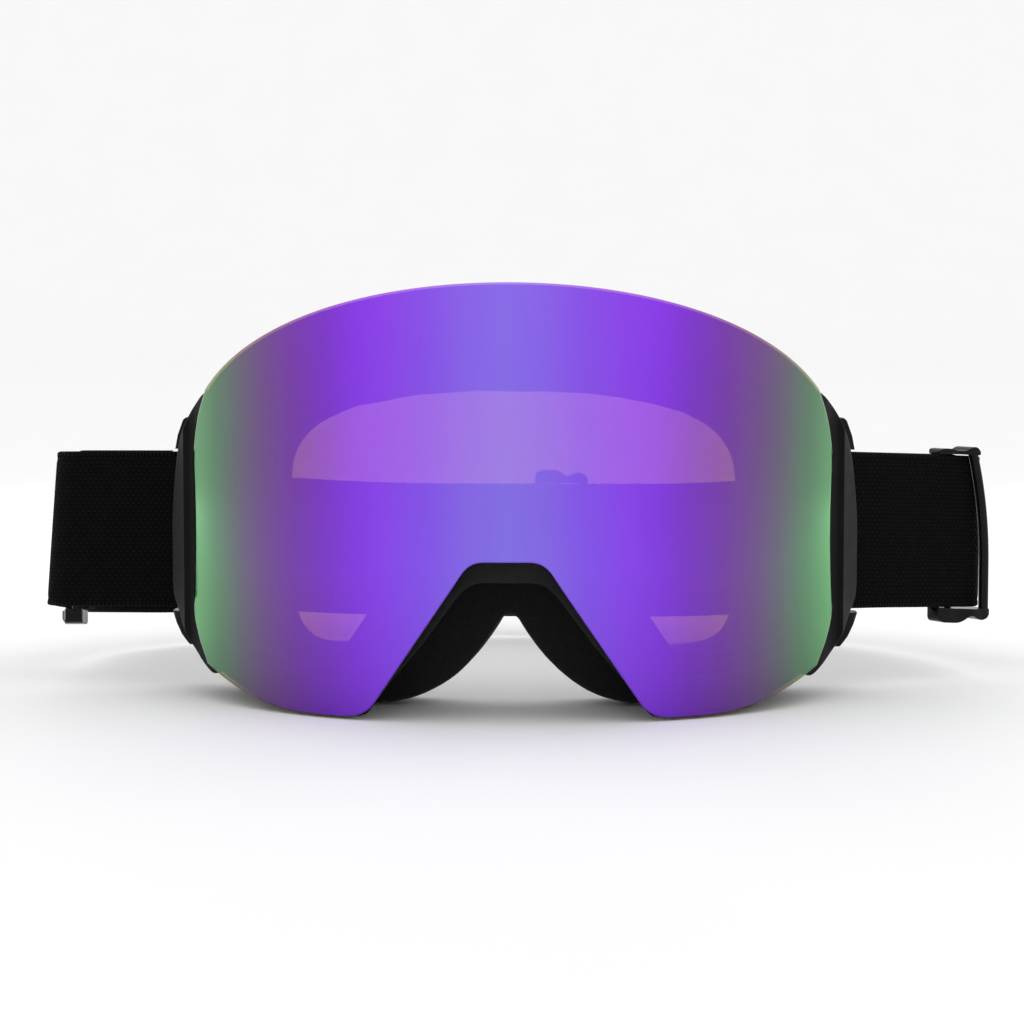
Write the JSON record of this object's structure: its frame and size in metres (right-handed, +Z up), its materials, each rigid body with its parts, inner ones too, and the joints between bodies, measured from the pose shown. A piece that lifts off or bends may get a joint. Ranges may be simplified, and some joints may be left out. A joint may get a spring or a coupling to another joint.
{
  "type": "ski goggles",
  "caption": "Frameless cylindrical ski goggles: magnetic double lens on a vented frame, face foam, side clips and an adjustable elastic strap with sliders.",
  "frame": {"origin": "centre of the whole object's footprint, on the surface it stands on", "axes": "+Z up, -Y out through the lens, +X to the right of the lens as seen from the front"},
  "size_m": [0.2516, 0.18, 0.1044],
  "materials": {
    "mirror_lens": "polycarbonate, thin violet mirror coating, lightly see-through",
    "inner_lens": "clear rose-tinted acetate",
    "carrier": "fine matte black",
    "gasket_foam": "closed-cell foam tape",
    "magnet_steel": "nickel-plated",
    "screw_steel": "bare steel",
    "frame": "soft-touch black TPU",
    "side_wing": "satin black TPU",
    "vent_foam": "open-cell filter foam",
    "clip_plastic": "gloss black",
    "slider_plastic": "gloss black",
    "face_foam_base": "dense black foam",
    "face_foam_pad": "soft black foam",
    "fleece": "brushed black fleece",
    "webbing": "woven black elastic",
    "silicone": "matte silicone print"
  },
  "bodies": {
    "goggles": {"main_frame": "frame", "top_vent_foam": "vent_foam", "left_vent_foam": "vent_foam", "right_vent_foam": "vent_foam", "frame_magnet_1": "magnet_steel", "frame_magnet_2": "magnet_steel", "frame_magnet_3": "magnet_steel", "frame_magnet_4": "magnet_steel", "frame_magnet_5": "magnet_steel", "frame_magnet_6": "magnet_steel", "left_side_wing": "side_wing", "left_strap_clip": "clip_plastic", "left_strap_pin": "screw_steel", "left_lower_screw": "screw_steel", "left_upper_screw": "screw_steel", "right_side_wing": "side_wing", "right_strap_clip": "clip_plastic", "right_strap_pin": "screw_steel", "right_lower_screw": "screw_steel", "right_upper_screw": "screw_steel", "face_foam_base": "face_foam_base", "face_foam_pad": "face_foam_pad", "face_fleece": "fleece", "strap_band": "webbing", "left_tail": "webbing", "right_tail": "webbing", "left_upper_grip": "silicone", "left_lower_grip": "silicone", "right_upper_grip": "silicone", "right_lower_grip": "silicone"},
    "lens_unit": {"outer_lens": "mirror_lens", "inner_lens": "inner_lens", "lens_gasket": "gasket_foam", "lens_carrier": "carrier", "lens_magnet_1": "magnet_steel", "lens_magnet_2": "magnet_steel", "lens_magnet_3": "magnet_steel", "lens_magnet_4": "magnet_steel", "lens_magnet_5": "magnet_steel", "lens_magnet_6": "magnet_steel"},
    "left_adjuster": {"left_slider": "slider_plastic", "left_tail_loop": "webbing"},
    "right_adjuster": {"right_slider": "slider_plastic", "right_tail_loop": "webbing"},
    "rear_keeper": {"rear_slider": "slider_plastic"}
  },
  "joints": [
    {"name": "lens_release", "type": "slide", "parent": "goggles", "child": "lens_unit", "axis": [0, -1, 0], "range_m": [0, 0.025]},
    {"name": "left_slider_travel", "type": "slide", "parent": "goggles", "child": "left_adjuster", "axis": [0, 0.9885, -0.1512], "range_m": [0, 0.014], "deforming": ["left_tail"]},
    {"name": "right_slider_travel", "type": "slide", "parent": "goggles", "child": "right_adjuster", "axis": [-0.8378, -0.5441, 0.046], "range_m": [0, 0.018], "deforming": ["right_tail"]},
    {"name": "rear_slider_travel", "type": "slide", "parent": "goggles", "child": "rear_keeper", "axis": [1, 0, 0], "range_m": [-0.012, 0.012]}
  ]
}
